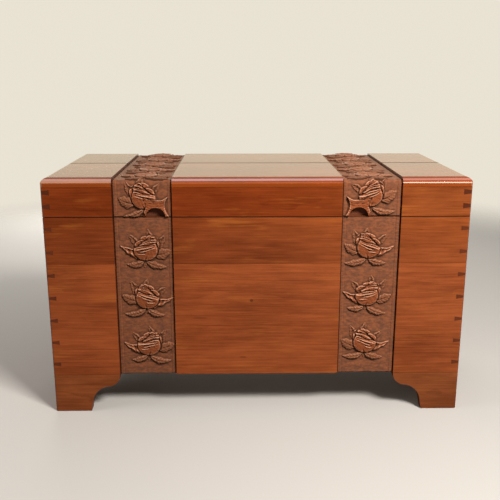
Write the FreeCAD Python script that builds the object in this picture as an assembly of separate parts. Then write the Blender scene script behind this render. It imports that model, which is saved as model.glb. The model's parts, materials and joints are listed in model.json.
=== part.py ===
"""Camphor wood storage chest with a deep hinged lid, two carved bands and ogee bracket feet.

The walls are edge-glued planks, through-dovetailed at every corner, and the lid is a dovetailed
frame under two wide boards. Butt hinges carry the lid at the back, and one slotted stay
on the right stops it when it is open. Millimetres, +Z up, the front faces -Y, and the origin is
the middle of the space that the chest takes up, at floor level.
"""
import FreeCAD, Part
import math
import os

from FreeCAD import Vector

# Overall sizes
chest_width = 1000.0
chest_depth = 480.0
chest_height = 585.0
lid_height = 92.0
foot_height = 98.0

# Board thicknesses
front_board = 22.0
side_board = 20.0
back_board = 20.0
top_board = 22.0
bottom_board = 14.0
foot_board = front_board
bearer_size = 22.0

# How many tails each wall's upper plank holds, so that no glue joint falls in a pin
front_upper_tails = 2
side_upper_tails = 3
back_upper_tails = 4

# The lid's front board, from front to back, and the boards of the bottom
top_front_width = 258.0
bottom_board_count = 3

# Edges, gaps and cuts
corner_round = 5.0
lid_round = 16.0
edge_ease = 1.2
joint_ease = 0.6
top_joint_ease = 1.8
glue_gap = 0.15
seam_gap = 0.4
shrink_gap = 1.0
overrun = 5.0
same_place = 0.001

# Dovetails: the side walls carry narrow pins, the front and back carry wide tails
carcase_pin_count = 7
carcase_pin_height = 5.0
lid_pin_height = 7.0
lid_pin_centre_shares = (0.36, 0.83)
dovetail_slope_share = 1 / 7

# Carved bands: the ground is sunk below the plain panels, from the bottom edge over the lid to the back
end_panel = 163.0
band_width = 139.0
band_depth = 7.0

# Finger pulls: a hollow under a raised petal at the lid's lower edge, near each band's inner side
pull_from_band_edge = 39.0
pull_width = 46.0
pull_height = 22.0
pull_depth = 15.0
petal_rim = 5.0
petal_crown = 13.0
petal_proud = 3.0

# Bracket feet: outline from the foot's inner corner, as shares of the bracket's free length and height
foot_base = 88.0
foot_leg_share = (0.08, 0.31)
foot_hollow_mid_share = (0.215, 0.52)
foot_turn_share = (0.587, 0.673)
foot_swell_mid_share = (0.885, 0.770)
foot_floor_ease = 1.5
foot_block = 45.0
foot_block_lift = 4.0

# Butt hinges
hinge_inset = 170.0
leaf_length = 64.0
leaf_width = 17.0
knuckle_radius = 4.0
knuckle_count = 3
knuckle_end_gap = 0.3
knuckle_clear = 0.4
hinge_pin_radius = 2.0
running_gap = 0.05
hinge_screw_count = 2
hinge_screw_spacing = 38.0

# Brass plate, and the screws whose heads are sunk right through it
plate_thickness = 2.0
screw_radius = 1.9
screw_head_radius = 3.6
screw_length = 15.0
screw_clear = 0.1

# Slotted lid stay, on the right wall
lid_open_angle = 95.0
stay_rise = 38.0
stay_floor_clear = 72.0
stay_width = 16.0
stay_thickness = 3.0
stay_gap = 0.4
slot_end_gap = 0.5
stay_pin_radius = 3.0
stay_head_radius = 6.5
stay_head_thickness = 2.2
stay_plate_length = 54.0
stay_plate_width = 18.0
stay_screw_offset = 18.0

# Places that follow from the sizes above
half_width = chest_width / 2
knuckle_axis_out = knuckle_radius + knuckle_clear
back_overhang = knuckle_axis_out + knuckle_radius
y_front = -(chest_depth + back_overhang) / 2
y_back = y_front + chest_depth
y_hinge = y_back + knuckle_axis_out
x_wall = half_width - side_board
y_front_wall = y_front + front_board
y_back_wall = y_back - back_board
z_seam = chest_height - lid_height
z_rim = z_seam - seam_gap / 2
z_lid = z_seam + seam_gap / 2
z_lid_wall_top = chest_height - top_board
z_bearer_top = foot_height + bearer_size
z_floor = z_bearer_top + bottom_board
carcase_pitch = (z_rim - foot_height) / carcase_pin_count
band_outer = half_width - end_panel
band_inner = band_outer - band_width
band_sides = ((-band_outer, -band_inner), (band_inner, band_outer))

os.makedirs("parts", exist_ok=True)


# Shape helpers

def box(x0, x1, y0, y1, z0, z1):
    return Part.makeBox(x1 - x0, y1 - y0, z1 - z0, Vector(x0, y0, z0))


def prism(points, travel):
    """A closed outline of points, pushed along travel."""
    return Part.Face(Part.makePolygon(list(points) + [points[0]])).extrude(travel)


def rod(radius, start, end):
    travel = end - start
    return Part.makeCylinder(radius, travel.Length, start, travel)


def edges_at_height(shape, z):
    return [e for e in shape.Edges if all(abs(v.Z - z) < same_place for v in e.Vertexes)]


def outer_block(z0, z1, lower_ease, upper_ease):
    """The chest's outline in plan with rounded corners and eased lower and upper edges."""
    block = box(-half_width, half_width, y_front, y_back, z0, z1)
    uprights = [e for e in block.Edges if abs(e.Vertexes[0].Z - e.Vertexes[1].Z) > same_place]
    block = block.makeFillet(corner_round, uprights)
    block = block.makeChamfer(lower_ease, edges_at_height(block, z0))
    return block.makeChamfer(upper_ease, edges_at_height(block, z1))


def stadium(y_mid, z_low, z_high, radius, x0, x1):
    """An upright bar with round ends centred on the two heights, lying against a side wall."""
    left = Vector(x0, y_mid - radius, z_high)
    right = Vector(x0, y_mid + radius, z_high)
    right_low = Vector(x0, y_mid + radius, z_low)
    left_low = Vector(x0, y_mid - radius, z_low)
    outline = [
        Part.Arc(left, Vector(x0, y_mid, z_high + radius), right).toShape(),
        Part.LineSegment(right, right_low).toShape(),
        Part.Arc(right_low, Vector(x0, y_mid, z_low - radius), left_low).toShape(),
        Part.LineSegment(left_low, left).toShape(),
    ]
    return Part.Face(Part.Wire(outline)).extrude(Vector(x1 - x0, 0, 0))


def countersunk_screw(head_centre, direction, grow):
    """A screw with its flat head at head_centre, sunk through a plate, grown all round by grow."""
    base = head_centre - direction * grow
    neck = base + direction * plate_thickness
    shank_length = screw_length - plate_thickness + grow * 2
    head = Part.makeCone(screw_head_radius + grow, screw_radius + grow, plate_thickness, base, direction)
    shank = Part.makeCylinder(screw_radius + grow, shank_length, neck, direction)
    return head.fuse(shank).removeSplitter()


# Dovetailed walls

def carcase_pin_heights():
    return [foot_height + carcase_pitch * (i + 0.5) for i in range(carcase_pin_count)]


def lid_pin_heights():
    return [z_lid + (z_lid_wall_top - z_lid) * share for share in lid_pin_centre_shares]


def pin(side, z_mid, height, y0, y1, grow):
    """One dovetail pin of the side wall on that side, wider on the wall's inner face."""
    x_out = side * (half_width + grow)
    x_in = side * (x_wall - grow)
    narrow = height / 2 + grow
    wide = narrow + side_board * dovetail_slope_share
    corners = [
        Vector(x_out, y0, z_mid - narrow),
        Vector(x_out, y0, z_mid + narrow),
        Vector(x_in, y0, z_mid + wide),
        Vector(x_in, y0, z_mid - wide),
    ]
    return prism(corners, Vector(0, y1 - y0, 0))


def pins(side, heights, pin_height, grow):
    """The pins at the front and back end of one side wall."""
    reach = overrun if grow else 0
    found = []
    for z_mid in heights:
        found.append(pin(side, z_mid, pin_height, y_front - reach, y_front_wall + grow, grow))
        found.append(pin(side, z_mid, pin_height, y_back_wall - grow, y_back + reach, grow))
    return found


def sockets(heights, pin_height):
    return pins(-1, heights, pin_height, glue_gap) + pins(1, heights, pin_height, glue_gap)


def side_wall(side, z0, z1, heights, pin_height, envelope):
    """A side wall between the front and back, with its pins reaching to the outer faces."""
    x0, x1 = sorted((side * x_wall, side * half_width))
    wall = box(x0, x1, y_front_wall + glue_gap, y_back_wall - glue_gap, z0, z1)
    level = box(-chest_width, chest_width, y_front - overrun, y_back + overrun, z0, z1)
    tongues = [p.common(level) for p in reach_into(pins(side, heights, pin_height, 0))]
    return wall.fuse(tongues).removeSplitter().common(envelope)


def reach_into(tongues):
    """Lengthens each pin across the glue line, so that it grows out of its wall."""
    bridge = Vector(0, glue_gap * 2, 0)
    return [t.fuse([t.translated(bridge), t.translated(-bridge)]).removeSplitter() for t in tongues]


def long_wall(y0, y1, z0, z1, heights, pin_height, envelope):
    """A front or back wall over the full width, with sockets for the pins at both ends."""
    return box(-half_width, half_width, y0, y1, z0, z1).common(envelope).cut(sockets(heights, pin_height))


def split_at(wall, z_joint, groove):
    """Two planks, (lower, upper), that meet at z_joint in a fine V groove."""
    limits = wall.BoundBox
    grooved = wall.cut(groove)
    low = box(limits.XMin, limits.XMax, limits.YMin, limits.YMax, limits.ZMin, z_joint - glue_gap / 2)
    high = box(limits.XMin, limits.XMax, limits.YMin, limits.YMax, z_joint + glue_gap / 2, limits.ZMax)
    return grooved.common(low), grooved.common(high)


def groove_along_x(y_face, outward, z_joint):
    reach = joint_ease + overrun
    return prism([
        Vector(-chest_width, y_face - outward * joint_ease, z_joint),
        Vector(-chest_width, y_face + outward * overrun, z_joint - reach),
        Vector(-chest_width, y_face + outward * overrun, z_joint + reach),
    ], Vector(chest_width * 2, 0, 0))


def groove_along_y(side, z_joint):
    reach = joint_ease + overrun
    y_start = y_front - overrun
    return prism([
        Vector(side * (half_width - joint_ease), y_start, z_joint),
        Vector(side * (half_width + overrun), y_start, z_joint - reach),
        Vector(side * (half_width + overrun), y_start, z_joint + reach),
    ], Vector(0, chest_depth + overrun * 2, 0))


def band_cuts():
    """What the carver takes away: both bands, down the front and over the lid, band_depth deep."""
    cuts = []
    z_low, z_high = foot_height - overrun, chest_height + overrun
    for x0, x1 in band_sides:
        slab = box(x0, x1, y_front - overrun, y_back + overrun, z_low, z_high)
        left_standing = arched_prism(
            lambda y, z: Vector(x0, y, z), y_front + band_depth, y_back + lid_round + overrun,
            z_low, chest_height - band_depth, lid_round - band_depth, Vector(x1 - x0, 0, 0))
        cuts.append(slab.cut(left_standing))
    return cuts


def arched_prism(place, low, high, z0, z1, radius, travel):
    """A block with its two upper edges rounded; place(across, height) puts its outline's points."""
    corner_share = 1 - math.sqrt(0.5)
    ends = []
    for edge, inward in ((low, radius), (high, -radius)):
        shoulder = place(edge + inward * corner_share, z1 - radius * corner_share)
        ends.append((place(edge, z0), place(edge, z1 - radius), shoulder, place(edge + inward, z1)))
    left, right = ends
    outline = [
        Part.LineSegment(left[0], left[1]).toShape(),
        Part.Arc(left[1], left[2], left[3]).toShape(),
        Part.LineSegment(left[3], right[3]).toShape(),
        Part.Arc(right[3], right[2], right[1]).toShape(),
        Part.LineSegment(right[1], right[0]).toShape(),
        Part.LineSegment(right[0], left[0]).toShape(),
    ]
    return Part.Face(Part.Wire(outline)).extrude(travel)


# Carcase

def carcase_walls():
    envelope = outer_block(foot_height, z_rim, joint_ease, edge_ease)
    heights = carcase_pin_heights()
    z_front = z_rim - carcase_pitch * front_upper_tails
    z_side = z_rim - carcase_pitch * side_upper_tails
    z_back = z_rim - carcase_pitch * back_upper_tails
    front = long_wall(y_front, y_front_wall, foot_height, z_rim, heights, carcase_pin_height, envelope)
    front = front.cut(band_cuts())
    back = long_wall(y_back_wall, y_back, foot_height, z_rim, heights, carcase_pin_height, envelope)
    back = back.cut(leaf_pockets(-1)).cut(hinge_screws(-1, screw_clear))
    left = side_wall(-1, foot_height, z_rim, heights, carcase_pin_height, envelope)
    right = side_wall(1, foot_height, z_rim, heights, carcase_pin_height, envelope)
    right = right.cut(stay_screws(stud_point(), screw_clear))
    nodes = {}
    for name, wall, z_joint, groove in (
        ("front", front, z_front, groove_along_x(y_front, -1, z_front)),
        ("back", back, z_back, groove_along_x(y_back, 1, z_back)),
        ("left_side", left, z_side, groove_along_y(-1, z_side)),
        ("right_side", right, z_side, groove_along_y(1, z_side)),
    ):
        nodes[name + "_lower_plank"], nodes[name + "_upper_plank"] = split_at(wall, z_joint, groove)
    return nodes


def bottom():
    """Bearers round the inside of the walls, and the loose-fitting boards that lie on them."""
    x1 = x_wall - glue_gap
    y0 = y_front_wall + glue_gap
    y1 = y_back_wall - glue_gap
    y_inner = (y0 + bearer_size + glue_gap, y1 - bearer_size - glue_gap)
    nodes = {
        "front_bearer": box(-x1, x1, y0, y0 + bearer_size, foot_height, z_bearer_top),
        "back_bearer": box(-x1, x1, y1 - bearer_size, y1, foot_height, z_bearer_top),
        "left_bearer": box(-x1, bearer_size - x1, *y_inner, foot_height, z_bearer_top),
        "right_bearer": box(x1 - bearer_size, x1, *y_inner, foot_height, z_bearer_top),
    }
    x_end = x_wall - shrink_gap
    y_start = y_front_wall + shrink_gap
    pitch = (y_back_wall - shrink_gap - y_start) / bottom_board_count
    for i in range(bottom_board_count):
        nodes[f"bottom_board_{i + 1}"] = box(-x_end, x_end, y_start + pitch * i,
                                             y_start + pitch * (i + 1) - glue_gap,
                                             z_bearer_top + glue_gap, z_floor)
    return nodes


# Feet

def foot_outline(place):
    """The bracket's ogee outline; place(along, height) puts a point on the front or on a side."""
    span = end_panel - foot_base

    def at(share):
        return place(foot_base + span * share[0], foot_height * share[1])

    leg, turn = at(foot_leg_share), at(foot_turn_share)
    top_inner, top_corner = place(end_panel, foot_height), place(0, foot_height)
    floor_inner, floor_corner = place(foot_base, 0), place(0, 0)
    return Part.Wire([
        Part.LineSegment(floor_corner, floor_inner).toShape(),
        Part.LineSegment(floor_inner, leg).toShape(),
        Part.Arc(leg, at(foot_hollow_mid_share), turn).toShape(),
        Part.Arc(turn, at(foot_swell_mid_share), top_inner).toShape(),
        Part.LineSegment(top_inner, top_corner).toShape(),
        Part.LineSegment(top_corner, floor_corner).toShape(),
    ])


def feet():
    """Two mitred brackets and a glue block at each corner."""
    envelope = outer_block(0, foot_height - glue_gap, foot_floor_ease, joint_ease)
    nodes = {}
    for x_name, x_sign in (("left", -1), ("right", 1)):
        for y_name, y_sign, y_corner in (("front", -1, y_front), ("back", 1, y_back)):
            x_corner = x_sign * half_width

            def along_x(distance, depth, z, xc=x_corner, xs=x_sign, yc=y_corner, ys=y_sign):
                return Vector(xc - xs * distance, yc - ys * depth, z)

            def along_y(distance, depth, z, xc=x_corner, xs=x_sign, yc=y_corner, ys=y_sign):
                return Vector(xc - xs * depth, yc - ys * distance, z)

            corner = f"{y_name}_{x_name}_foot"
            nodes[corner + "_face"] = bracket(along_x, 0).common(envelope)
            nodes[corner + "_return"] = bracket(along_y, glue_gap).common(envelope)
            near, far = foot_board + glue_gap, foot_board + foot_block
            low, high = along_x(near, near, foot_block_lift), along_x(far, far, foot_height - glue_gap)
            (x0, x1), (y0, y1) = sorted((low.x, high.x)), sorted((low.y, high.y))
            nodes[corner + "_block"] = box(x0, x1, y0, y1, low.z, high.z)
    return nodes


def bracket(place, mitre_gap):
    """One bracket, cut to its outline and mitred at the corner; place puts (along, depth, height)."""
    outline = foot_outline(lambda along, z: place(along, 0, z))
    board = Part.Face(outline).extrude(place(0, foot_board, 0) - place(0, 0, 0))
    mitre = prism([
        place(mitre_gap, 0, 0),
        place(end_panel + overrun, 0, 0),
        place(end_panel + overrun, foot_board, 0),
        place(foot_board + mitre_gap, foot_board, 0),
    ], Vector(0, 0, foot_height))
    return board.common(mitre)


# Lid

def lid():
    walls = outer_block(z_lid, z_lid_wall_top - glue_gap, edge_ease, joint_ease)
    heights = lid_pin_heights()
    z1 = z_lid_wall_top - glue_gap
    front = long_wall(y_front, y_front_wall, z_lid, z1, heights, lid_pin_height, walls)
    front = with_finger_pulls(front.cut(band_cuts()))
    back = long_wall(y_back_wall, y_back, z_lid, z1, heights, lid_pin_height, walls)
    back = back.cut(leaf_pockets(1)).cut(hinge_screws(1, screw_clear))
    right = side_wall(1, z_lid, z1, heights, lid_pin_height, walls)
    nodes = {
        "lid_front": front,
        "lid_back": back,
        "lid_left_side": side_wall(-1, z_lid, z1, heights, lid_pin_height, walls),
        "lid_right_side": right.cut(stay_screws(pivot_point(), screw_clear)),
    }
    nodes.update(lid_top())
    return nodes


def lid_top():
    """Two wide boards on top of the lid's frame, rounded over on all four outer edges."""
    block = outer_block(z_lid_wall_top, chest_height + overrun, joint_ease, joint_ease)
    end_view = arched_prism(lambda y, z: Vector(-half_width, y, z), y_front, y_back, z_lid_wall_top,
                            chest_height, lid_round, Vector(chest_width, 0, 0))
    front_view = arched_prism(lambda x, z: Vector(x, y_front, z), -half_width, half_width, z_lid_wall_top,
                              chest_height, lid_round, Vector(0, chest_depth, 0))
    slab = block.common(end_view).common(front_view)
    y_joint = y_front + top_front_width
    reach = top_joint_ease + overrun
    groove = prism([
        Vector(-chest_width, y_joint, chest_height - top_joint_ease),
        Vector(-chest_width, y_joint - reach, chest_height + overrun),
        Vector(-chest_width, y_joint + reach, chest_height + overrun),
    ], Vector(chest_width * 2, 0, 0))
    slab = slab.cut(band_cuts() + [groove])
    y0, y1 = y_front - overrun, y_back + overrun
    z0, z1 = z_lid_wall_top, chest_height + overrun
    return {
        "lid_top_front_board": slab.common(box(-half_width, half_width, y0, y_joint - glue_gap / 2, z0, z1)),
        "lid_top_back_board": slab.common(box(-half_width, half_width, y_joint + glue_gap / 2, y1, z0, z1)),
    }


def half_ellipse(x_mid, half_across, rise, y0, y1):
    """An arch standing on the lid's lower edge."""
    across, up = Vector(half_across, 0, 0), Vector(0, 0, rise)
    centre = Vector(x_mid, y0, z_lid)
    if half_across >= rise:
        curve = Part.Ellipse(centre + across, centre + up, centre)
        arch = curve.toShape(0, math.pi)
    else:
        curve = Part.Ellipse(centre + up, centre - across, centre)
        arch = curve.toShape(-math.pi / 2, math.pi / 2)
    foot = Part.LineSegment(arch.Vertexes[-1].Point, arch.Vertexes[0].Point).toShape()
    return Part.Face(Part.Wire([arch, foot])).extrude(Vector(0, y1 - y0, 0))


def with_finger_pulls(board):
    """Leaves a raised petal in each band and hollows the board under it."""
    ground = y_front + band_depth
    for side in (-1, 1):
        x_mid = side * (band_inner + pull_from_band_edge)
        petal = half_ellipse(x_mid, pull_width / 2 + petal_rim, pull_height + petal_crown,
                             ground - petal_proud, ground + glue_gap)
        hollow = half_ellipse(x_mid, pull_width / 2, pull_height, y_front - overrun, y_front + pull_depth)
        below = box(x_mid - pull_width / 2, x_mid + pull_width / 2, y_front - overrun,
                    y_front + pull_depth, z_lid - overrun, z_lid)
        board = board.fuse(petal).removeSplitter().cut([hollow, below])
    return board


# Hinges

def hinge_places():
    return (("left", hinge_inset - half_width), ("right", half_width - hinge_inset))


def leaf_box(x_mid, level, grow):
    """A leaf's plate: level -1 is let into the carcase, 1 into the lid."""
    z_face = z_seam + level * seam_gap / 2
    z0, z1 = sorted((z_face, z_face + level * (plate_thickness + grow)))
    half = leaf_length / 2 + grow
    return box(x_mid - half, x_mid + half, y_back - leaf_width - grow, y_hinge, z0, z1)


def leaf_pockets(level):
    return [leaf_box(x_mid, level, glue_gap) for _, x_mid in hinge_places()]


def hinge_screws(level, grow):
    """The screws of one side's leaves, with their heads flush with the leaf."""
    found = []
    for _, x_mid in hinge_places():
        for i in range(hinge_screw_count):
            x = x_mid + hinge_screw_spacing * (i - (hinge_screw_count - 1) / 2)
            head = Vector(x, y_back - leaf_width / 2, z_seam + level * (seam_gap / 2 + screw_clear))
            found.append(countersunk_screw(head, Vector(0, 0, level), grow))
    return found


def knuckles(x_mid, wanted, radius, grow):
    """The barrel's rods whose number leaves the remainder wanted when halved."""
    pitch = leaf_length / knuckle_count
    start = x_mid - leaf_length / 2
    inset = knuckle_end_gap / 2 - grow
    return [
        rod(radius, Vector(start + pitch * i + inset, y_hinge, z_seam),
            Vector(start + pitch * (i + 1) - inset, y_hinge, z_seam))
        for i in range(knuckle_count) if i % 2 == wanted
    ]


def hinges():
    nodes = {}
    for name, x_mid in hinge_places():
        ends = [Vector(x_mid + s * leaf_length / 2, y_hinge, z_seam) for s in (-1, 1)]
        past = Vector(overrun, 0, 0)
        bore = rod(hinge_pin_radius + running_gap, ends[0] - past, ends[1] + past)
        for part, level, own in (("lower", -1, 0), ("upper", 1, 1)):
            room = knuckles(x_mid, 1 - own, knuckle_radius + knuckle_clear / 2, knuckle_end_gap)
            cleared = leaf_box(x_mid, level, 0).cut(room)
            leaf = cleared.fuse(knuckles(x_mid, own, knuckle_radius, 0)).removeSplitter()
            nodes[f"{name}_hinge_{part}_leaf"] = leaf.cut([bore] + hinge_screws(level, screw_clear))
        nodes[f"{name}_hinge_pin"] = rod(hinge_pin_radius, ends[0], ends[1])
    nodes["hinge_screws_carcase"] = Part.makeCompound(hinge_screws(-1, 0))
    nodes["hinge_screws_lid"] = Part.makeCompound(hinge_screws(1, 0))
    return nodes


# Lid stay: its pivot on the lid and its stud on the carcase are equally far from the hinge line,
# so the arm turns by exactly half the lid's angle while the stud runs along the slot.

def stay_travel():
    """(distance from pivot to stud with the lid shut, the same with the lid open)."""
    open_length = z_seam + stay_rise - z_floor - stay_floor_clear - slot_end_gap
    return stay_rise * 2, open_length


def stay_offset():
    """How far in front of the hinge line the pivot and the stud lie."""
    half_angle = math.radians(lid_open_angle) / 2
    open_length = stay_travel()[1]
    return (open_length / 2 - stay_rise * math.cos(half_angle)) / math.sin(half_angle)


def pivot_point():
    return Vector(x_wall, y_hinge - stay_offset(), z_seam + stay_rise)


def stud_point():
    return Vector(x_wall, y_hinge - stay_offset(), z_seam - stay_rise)


def stay_screws(point, grow):
    """The two screws that hold the plate at that point to the wall."""
    face = point - Vector(plate_thickness + glue_gap - screw_clear, 0, 0)
    return [countersunk_screw(face + Vector(0, s * stay_screw_offset, 0), Vector(1, 0, 0), grow)
            for s in (-1, 1)]


def stay_plate(point):
    """A plate with round ends, along the wall, and holes for its post and its screws."""
    x1 = x_wall - glue_gap
    radius = stay_plate_width / 2
    reach = stay_plate_length / 2 - radius
    upright = stadium(point.y, point.z - reach, point.z + reach, radius, x1 - plate_thickness, x1)
    plate = upright.rotated(point, Vector(1, 0, 0), 90)
    post = rod(stay_pin_radius + running_gap, point - Vector(x_wall, 0, 0), point)
    return plate.cut([post] + stay_screws(point, screw_clear))


def headed_post(point):
    """The riveted post through the plate and the arm, with a flat head on the inside."""
    head_back = x_wall - glue_gap - plate_thickness - stay_gap * 2 - stay_thickness
    start = Vector(head_back, point.y, point.z)
    shank = rod(stay_pin_radius, start, Vector(x_wall - glue_gap, point.y, point.z))
    head = rod(stay_head_radius, start - Vector(stay_head_thickness, 0, 0), start)
    return shank.fuse(head).removeSplitter()


def lid_stay():
    shut, opened = stay_travel()
    pivot, stud = pivot_point(), stud_point()
    x1 = x_wall - glue_gap - plate_thickness - stay_gap
    x0 = x1 - stay_thickness
    tip = pivot.z - opened - slot_end_gap
    arm = stadium(pivot.y, tip, pivot.z, stay_width / 2, x0, x1)
    slot_radius = stay_pin_radius + running_gap * 2
    slot = stadium(pivot.y, tip, pivot.z - shut + slot_end_gap, slot_radius, x0 - overrun, x1 + overrun)
    eye = rod(stay_pin_radius + running_gap, pivot - Vector(x_wall, 0, 0), pivot)
    return {
        "stay_arm": arm.cut([slot, eye]),
        "stay_lid_plate": stay_plate(pivot),
        "stay_pivot_post": headed_post(pivot),
        "stay_carcase_plate": stay_plate(stud),
        "stay_stud": headed_post(stud),
        "stay_screws_lid": Part.makeCompound(stay_screws(pivot, 0)),
        "stay_screws_carcase": Part.makeCompound(stay_screws(stud, 0)),
    }


nodes = {}
for group in (carcase_walls, bottom, feet, lid, hinges, lid_stay):
    nodes.update(group())
for name, shape in sorted(nodes.items()):
    shape.exportStep(f"parts/{name}.step")
    state = "valid" if shape.isValid() else "NOT VALID"
    print(f"{name}: {len(shape.Solids)} solid, {shape.Volume:.0f} mm3, {len(shape.Faces)} faces, {state}")
print(f"{len(nodes)} nodes")
print(f"hinge axis y {y_hinge:.3f} z {z_seam:.3f}")
print(f"stay pivot {tuple(pivot_point())}, travel {stay_travel()}")
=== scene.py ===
# %% [markdown]
# # A camphor wood chest
# The chest's construction is loaded as a finished frame: boards, dovetails, feet, hinges and lid stay are in
# place, in metres, and stay as they are. This lesson adds what a finisher and a carver add: polish, grain,
# the two bands of roses, slotted screws, and then light and a camera.

# %% Load the construction
import json
import math

import bpy
import numpy as np
from mathutils import Euler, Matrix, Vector


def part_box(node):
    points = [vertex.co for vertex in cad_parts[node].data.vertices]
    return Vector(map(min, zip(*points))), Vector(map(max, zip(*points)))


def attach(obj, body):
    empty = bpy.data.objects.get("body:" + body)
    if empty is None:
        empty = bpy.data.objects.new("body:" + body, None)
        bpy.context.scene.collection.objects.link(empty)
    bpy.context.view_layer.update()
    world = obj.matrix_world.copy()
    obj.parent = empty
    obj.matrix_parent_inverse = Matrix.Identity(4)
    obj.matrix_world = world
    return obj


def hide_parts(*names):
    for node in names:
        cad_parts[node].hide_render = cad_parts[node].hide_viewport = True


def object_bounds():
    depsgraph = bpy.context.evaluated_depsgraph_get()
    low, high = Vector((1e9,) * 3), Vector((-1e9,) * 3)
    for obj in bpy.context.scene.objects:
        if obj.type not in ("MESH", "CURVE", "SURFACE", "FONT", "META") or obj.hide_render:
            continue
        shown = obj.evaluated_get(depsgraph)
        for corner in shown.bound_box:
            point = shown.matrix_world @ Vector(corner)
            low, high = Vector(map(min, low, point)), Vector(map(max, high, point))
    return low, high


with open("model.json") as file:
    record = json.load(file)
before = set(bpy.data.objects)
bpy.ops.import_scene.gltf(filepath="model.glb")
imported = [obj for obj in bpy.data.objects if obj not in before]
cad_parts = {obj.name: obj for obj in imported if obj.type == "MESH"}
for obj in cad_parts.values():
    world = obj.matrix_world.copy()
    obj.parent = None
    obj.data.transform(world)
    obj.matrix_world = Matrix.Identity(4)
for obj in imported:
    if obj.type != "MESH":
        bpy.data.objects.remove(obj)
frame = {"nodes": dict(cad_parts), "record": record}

cad_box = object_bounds()

# %% [markdown]
# ## Places on the chest
# Everything later is placed from a few corners of the construction. The front's outer face, the lid's lower
# edge and the length of a bracket foot say where the carved bands lie, because each band starts where a foot
# ends. The band's own width and depth, and the lid's rounded edge, are the carver's and joiner's sizes.

# %% Corners and sizes
front_low, front_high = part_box("front_lower_plank")
lid_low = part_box("lid_front")[0]
top_low, top_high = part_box("lid_top_front_board")
back_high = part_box("lid_top_back_board")[1]
foot_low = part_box("front_right_foot_face")[0]
y_front, z_carcase = front_low.y, front_low.z
z_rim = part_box("front_upper_plank")[1].z
x_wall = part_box("stay_carcase_plate")[1].x
y_inside = (front_high.y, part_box("lid_back")[0].y)
band_width = 0.139
band_depth = 0.007
lid_round = 0.016
band_middle = foot_low.x - band_width / 2
pull_width, pull_height = 0.046, 0.022
pull_inset = 0.039
pull_middle = band_middle - band_width / 2 + pull_inset
print(f"front face at {y_front:.4f}, bands centred {band_middle:.4f} either side, lid from {lid_low.z:.4f}")

# %% [markdown]
# ## Writing node trees as sums
# A material is a small calculation done at every point of a surface. Written node by node it is hard to read,
# so a number in a tree is wrapped in a class that knows how to add and multiply: each operator adds a Math
# node. Any other node is made by one method, which takes its type, its sockets and its settings.

# %% Numbers and recipes
def operator(operation):
    """A method of Number that adds one Math node."""
    return lambda self, *others: self.math(operation, self, *others)


class Number:
    """A value socket with arithmetic."""

    def __init__(self, recipe, socket):
        self.recipe = recipe
        self.socket = socket

    def math(self, operation, *terms):
        return self.recipe.number("ShaderNodeMath", dict(enumerate(terms)), operation=operation)

    __add__ = __radd__ = operator("ADD")
    __mul__ = __rmul__ = operator("MULTIPLY")
    __sub__ = operator("SUBTRACT")
    __truediv__ = operator("DIVIDE")
    __pow__ = operator("POWER")
    size = operator("ABSOLUTE")
    fraction = operator("FRACT")
    larger = operator("MAXIMUM")

    def __rsub__(self, other):
        return self.math("SUBTRACT", other, self)

    def ramp(self, low, high):
        """0 below low, 1 above high, smooth between; low may be the larger."""
        sockets = {"Value": self, "From Min": low, "From Max": high}
        return self.recipe.number("ShaderNodeMapRange", sockets, interpolation_type="SMOOTHSTEP")


class Recipe:
    """A node tree that grows by one call for each node."""

    def __init__(self, tree):
        self.tree = tree
        tree.nodes.clear()

    def node(self, kind, sockets=None, **settings):
        made = self.tree.nodes.new(kind)
        for key, value in settings.items():
            setattr(made, key, value)
        for key, value in (sockets or {}).items():
            for source in value if isinstance(value, list) else [value]:
                source = source.socket if isinstance(source, Number) else source
                if isinstance(source, bpy.types.NodeSocket):
                    self.tree.links.new(source, made.inputs[key])
                else:
                    made.inputs[key].default_value = source
        return made

    def out(self, kind, sockets=None, **settings):
        return self.node(kind, sockets, **settings).outputs[0]

    def number(self, kind, sockets=None, output=0, **settings):
        return Number(self, self.node(kind, sockets, **settings).outputs[output])

    def mix(self, factor, first, second, how="MIX"):
        """A colour between two colours."""
        sockets = {0: factor, 6: colour(first), 7: colour(second)}
        return self.node("ShaderNodeMix", sockets, data_type="RGBA", blend_type=how).outputs[2]

    def layered(self, base, *layers):
        """A colour with others laid over it, each (share, colour)."""
        for share, over in layers:
            base = self.mix(share, base, over)
        return base

    def parts(self, vector):
        return [Number(self, out) for out in self.node("ShaderNodeSeparateXYZ", {0: vector}).outputs]

    def here(self, what="Object"):
        """x, y and z of a point's place, or of its Normal."""
        return self.parts(self.node("ShaderNodeTexCoord").outputs[what])

    def bump(self, strength, distance, height):
        return self.out("ShaderNodeBump", {"Strength": strength, "Distance": distance, "Height": height})

    def surface(self, shader):
        self.node("ShaderNodeOutputMaterial", {"Surface": shader})


def colour(value):
    """A written colour gets its fourth number; a socket stays as it is."""
    return (*value, 1.0) if isinstance(value, tuple) and len(value) == 3 else value


def finish(name):
    """A new material and its recipe."""
    material = bpy.data.materials.new(name)
    material.use_nodes = True
    return material, Recipe(material.node_tree)



print("recipes ready")

# %% [markdown]
# ## Camphor grain
# Grain is what is left of a tree's rings when a board is sawn. So the pattern is made as a tree makes it:
# rings round a heart that lies behind the board, wandering a little along the trunk, with long fibres drawn
# over them. Cut by the board's face they give straight lines at its edges and pointed arches in its middle.
# A painted stripe pattern would be quicker, but it would not turn the corner onto the end grain.

# %% Rings and fibres
ring_spacing = 0.0075
ring_wander = 0.038
turns = {"X": (0, 0, 0), "Y": (0, 0, -math.pi / 2), "Z": (0, math.pi / 2, 0)}


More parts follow.
